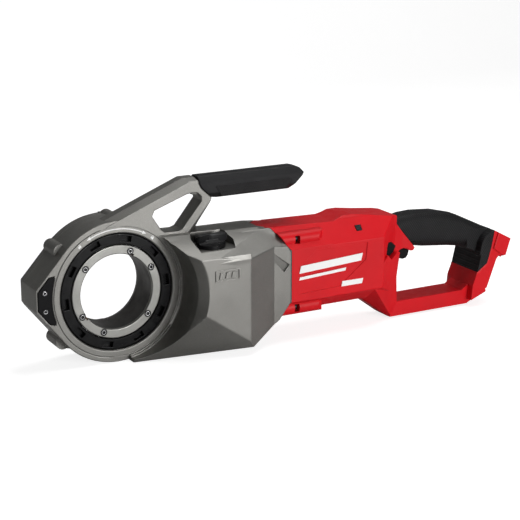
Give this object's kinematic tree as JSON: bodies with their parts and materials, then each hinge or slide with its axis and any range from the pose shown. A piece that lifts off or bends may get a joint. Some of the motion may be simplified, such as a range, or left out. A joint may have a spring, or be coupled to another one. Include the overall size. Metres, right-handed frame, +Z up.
{
  "type": "handheld pipe threading machine",
  "caption": "Cordless handheld power drive for pipe threading: geared ring that takes a die head, top carry grip, motor housing and D handle with trigger, no battery.",
  "frame": {"origin": "on the axis of the die-head bore, 1 mm behind the front face of the drive plate", "axes": "+X from the bore to the rear D handle, +Y into the bore away from the die-head side, +Z up towards the carry grip"},
  "size_m": [0.6935, 0.121, 0.2255],
  "materials": {
    "case_grey": "powder coated die casting, warm grey satin",
    "bright_steel": "turned and brushed",
    "gear_steel": "machined and oiled",
    "dark_steel": "blackened, oiled",
    "screw_black": "black oxide",
    "bearing_steel": "ground",
    "black_gloss": "glossy moulded glass-filled plastic",
    "black_plastic": "fine matt texture",
    "grip_rubber": "overmoulded, fine pebble texture",
    "housing_red": "moulded glass-filled plastic, satin",
    "key_brass": "machined",
    "copper": "enamelled winding wire",
    "lamination": "stacked electrical steel",
    "magnet": "bonded magnet",
    "board_green": "solder mask",
    "seal_teal": "moulded seal",
    "lens_dark": "clear smoked",
    "wire_red": "insulated lead",
    "contact_brass": "plated contact",
    "alu_plate": "machined"
  },
  "bodies": {
    "tool_body": {"gearcase_front": "case_grey", "gearcase_rear_cover": "case_grey", "rear_cover_screws": "screw_black", "bezel_ring": "case_grey", "lock_detent_plunger": "bright_steel", "drum_bearing_front": "bearing_steel", "drum_bearing_rear": "bearing_steel", "idler_pin": "bright_steel", "pinion_bearing_front": "bearing_steel", "pinion_bearing_rear": "bearing_steel", "bevel_pinion_bearing": "bearing_steel", "ring_gear": "gear_steel", "motor_plate": "alu_plate", "stator_core": "lamination", "stator_windings": "copper", "motor_bearing_front": "bearing_steel", "motor_bearing_rear": "bearing_steel", "sensor_board": "board_green", "flange_gasket": "seal_teal", "housing_left": "housing_red", "housing_right": "housing_red", "housing_screws": "screw_black", "flange_screws": "screw_black", "handle_grip": "grip_rubber", "nose_plate": "black_plastic", "nose_plate_screws": "screw_black", "badge_plate": "case_grey", "rear_grip": "grip_rubber", "trigger_pin": "bright_steel", "trigger_spring": "bright_steel", "switch_module": "black_plastic", "indicator_lens": "lens_dark", "control_board": "board_green", "lead_wires": "wire_red", "terminal_block": "black_plastic", "terminal_blades": "contact_brass"},
    "drum": {"drive_drum": "dark_steel", "drive_plate": "bright_steel", "drive_plate_screws": "screw_black", "drive_keys": "key_brass"},
    "lock": {"lock_ring": "black_gloss"},
    "idler": {"idler_gear": "gear_steel"},
    "pinion": {"pinion_shaft": "gear_steel", "bevel_wheel": "gear_steel"},
    "carrier": {"bevel_pinion": "gear_steel", "planet_carrier": "gear_steel", "planet_pins": "bright_steel"},
    "planet_1": {"planet_a": "gear_steel"},
    "planet_2": {"planet_b": "gear_steel"},
    "planet_3": {"planet_c": "gear_steel"},
    "rotor": {"motor_shaft": "bright_steel", "rotor_core": "lamination", "rotor_magnets": "magnet", "motor_fan": "black_plastic"},
    "selector": {"selector_knob": "black_gloss", "selector_shaft": "bright_steel"},
    "trigger_lever": {"trigger": "black_plastic"},
    "direction_slider": {"direction_button": "black_plastic"}
  },
  "joints": [
    {"name": "drum_spin", "type": "hinge", "parent": "tool_body", "child": "drum", "pos_m": [0, 0.02, 0], "axis": [0, 1, 0], "continuous": true},
    {"name": "idler_spin", "type": "hinge", "parent": "tool_body", "child": "idler", "pos_m": [0.09375, 0.0285, 0], "axis": [0, 1, 0], "continuous": true},
    {"name": "pinion_spin", "type": "hinge", "parent": "tool_body", "child": "pinion", "pos_m": [0.125, 0, 0], "axis": [0, 1, 0], "continuous": true},
    {"name": "carrier_spin", "type": "hinge", "parent": "tool_body", "child": "carrier", "pos_m": [0.165, 0, 0], "axis": [1, 0, 0], "continuous": true},
    {"name": "planet_1_spin", "type": "hinge", "parent": "carrier", "child": "planet_1", "pos_m": [0.187, 0.02063, 0], "axis": [1, 0, 0], "continuous": true},
    {"name": "planet_2_spin", "type": "hinge", "parent": "carrier", "child": "planet_2", "pos_m": [0.187, -0.01031, 0.01786], "axis": [1, 0, 0], "continuous": true},
    {"name": "planet_3_spin", "type": "hinge", "parent": "carrier", "child": "planet_3", "pos_m": [0.187, -0.01031, -0.01786], "axis": [1, 0, 0], "continuous": true},
    {"name": "rotor_spin", "type": "hinge", "parent": "tool_body", "child": "rotor", "pos_m": [0.25, 0, 0], "axis": [1, 0, 0], "continuous": true},
    {"name": "lock_ring_turn", "type": "hinge", "parent": "tool_body", "child": "lock", "pos_m": [0, 0.005, 0], "axis": [0, 1, 0], "range_deg": [-35, 0]},
    {"name": "selector_turn", "type": "hinge", "parent": "tool_body", "child": "selector", "pos_m": [0.117, -0.028, 0.05], "axis": [0, 0, 1], "range_deg": [-45, 45]},
    {"name": "trigger_pull", "type": "hinge", "parent": "tool_body", "child": "trigger_lever", "pos_m": [0.409, 0, 0.011], "axis": [0, -1, 0], "range_deg": [0, 12], "stiffness_Nm_per_rad": 0.6, "springref_deg": -5.73, "deforming": ["trigger_spring"]},
    {"name": "direction_slide", "type": "slide", "parent": "tool_body", "child": "direction_slider", "axis": [0, 1, 0], "range_m": [-0.004, 0.004]}
  ],
  "couplings": [
    {"joint": "idler_spin", "follows": "drum_spin", "ratio": -4.7692},
    {"joint": "pinion_spin", "follows": "drum_spin", "ratio": 5.1667},
    {"joint": "carrier_spin", "follows": "drum_spin", "ratio": 12.056},
    {"joint": "planet_1_spin", "follows": "drum_spin", "ratio": -31},
    {"joint": "planet_2_spin", "follows": "drum_spin", "ratio": -31},
    {"joint": "planet_3_spin", "follows": "drum_spin", "ratio": -31},
    {"joint": "rotor_spin", "follows": "drum_spin", "ratio": 66.306}
  ]
}
